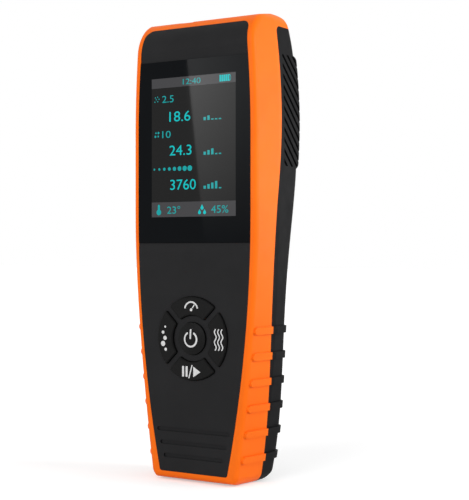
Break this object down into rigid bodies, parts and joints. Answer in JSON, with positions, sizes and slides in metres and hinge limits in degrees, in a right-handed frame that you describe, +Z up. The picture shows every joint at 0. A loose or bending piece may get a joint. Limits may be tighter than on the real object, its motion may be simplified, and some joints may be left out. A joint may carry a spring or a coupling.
{
  "type": "airborne particle counter",
  "caption": "Hand-held airborne particle counter: tapered orange and black case, flush front panel with display lens, round keypad, grip ribs and louvred sensor chamber.",
  "frame": {"origin": "on the ground under the middle of the body", "axes": "+Z up along the height, display facing -Y, +X to the viewer's right"},
  "size_m": [0.0744, 0.0464, 0.232],
  "materials": {
    "orange_shell": "fine moulded texture, satin",
    "black_shell": "fine moulded texture, satin",
    "panel_black": "fine moulded texture, satin",
    "lens_glass": "polished clear acrylic, dark behind",
    "tape_foam": "matt foam tape",
    "display_glass": "matt polariser",
    "flex_film": "amber film",
    "part_plastic": "moulded",
    "board_green": "solder mask",
    "screw_steel": "zinc plated",
    "key_black": "soft satin",
    "switch_steel": "stamped cover",
    "filter_mesh": "fine dust mesh",
    "socket_steel": "drawn shell",
    "can_steel": "pressed steel",
    "sensor_black": "moulded",
    "brass_tube": "turned",
    "battery_film": "shrink film"
  },
  "bodies": {
    "casing": {"front_bezel": "orange_shell", "rear_shell": "black_shell", "front_panel": "panel_black", "display_lens": "lens_glass", "lens_tape": "tape_foam", "display_module": "display_glass", "display_flex": "flex_film", "flex_connector": "part_plastic", "main_board": "board_green", "board_screws": "screw_steel", "key_switches": "switch_steel", "vent_filter_left": "filter_mesh", "vent_filter_right": "filter_mesh", "usb_socket": "socket_steel", "buzzer": "part_plastic", "gas_sensor": "can_steel", "humidity_sensor": "part_plastic", "sensor_case": "sensor_black", "sensor_cover": "can_steel", "laser_module": "brass_tube", "fan_shaft": "screw_steel", "battery_pack": "battery_film", "battery_pad": "tape_foam", "case_screws": "screw_steel"},
    "key_up": {"key_up": "key_black", "plunger_up": "part_plastic"},
    "key_right": {"key_right": "key_black", "plunger_right": "part_plastic"},
    "key_down": {"key_down": "key_black", "plunger_down": "part_plastic"},
    "key_left": {"key_left": "key_black", "plunger_left": "part_plastic"},
    "key_power": {"key_power": "key_black", "plunger_power": "part_plastic"},
    "fan": {"fan_rotor": "sensor_black"}
  },
  "joints": [
    {"name": "press_up", "type": "slide", "parent": "casing", "child": "key_up", "axis": [0, 1, 0], "range_m": [0, 0.0008], "stiffness_N_per_m": 600},
    {"name": "press_right", "type": "slide", "parent": "casing", "child": "key_right", "axis": [0, 1, 0], "range_m": [0, 0.0008], "stiffness_N_per_m": 600},
    {"name": "press_down", "type": "slide", "parent": "casing", "child": "key_down", "axis": [0, 1, 0], "range_m": [0, 0.0008], "stiffness_N_per_m": 600},
    {"name": "press_left", "type": "slide", "parent": "casing", "child": "key_left", "axis": [0, 1, 0], "range_m": [0, 0.0008], "stiffness_N_per_m": 600},
    {"name": "press_power", "type": "slide", "parent": "casing", "child": "key_power", "axis": [0, 1, 0], "range_m": [0, 0.0008], "stiffness_N_per_m": 600},
    {"name": "fan_spin", "type": "hinge", "parent": "casing", "child": "fan", "pos_m": [0, 0.0126, 0.19], "axis": [0, 1, 0], "continuous": true}
  ]
}
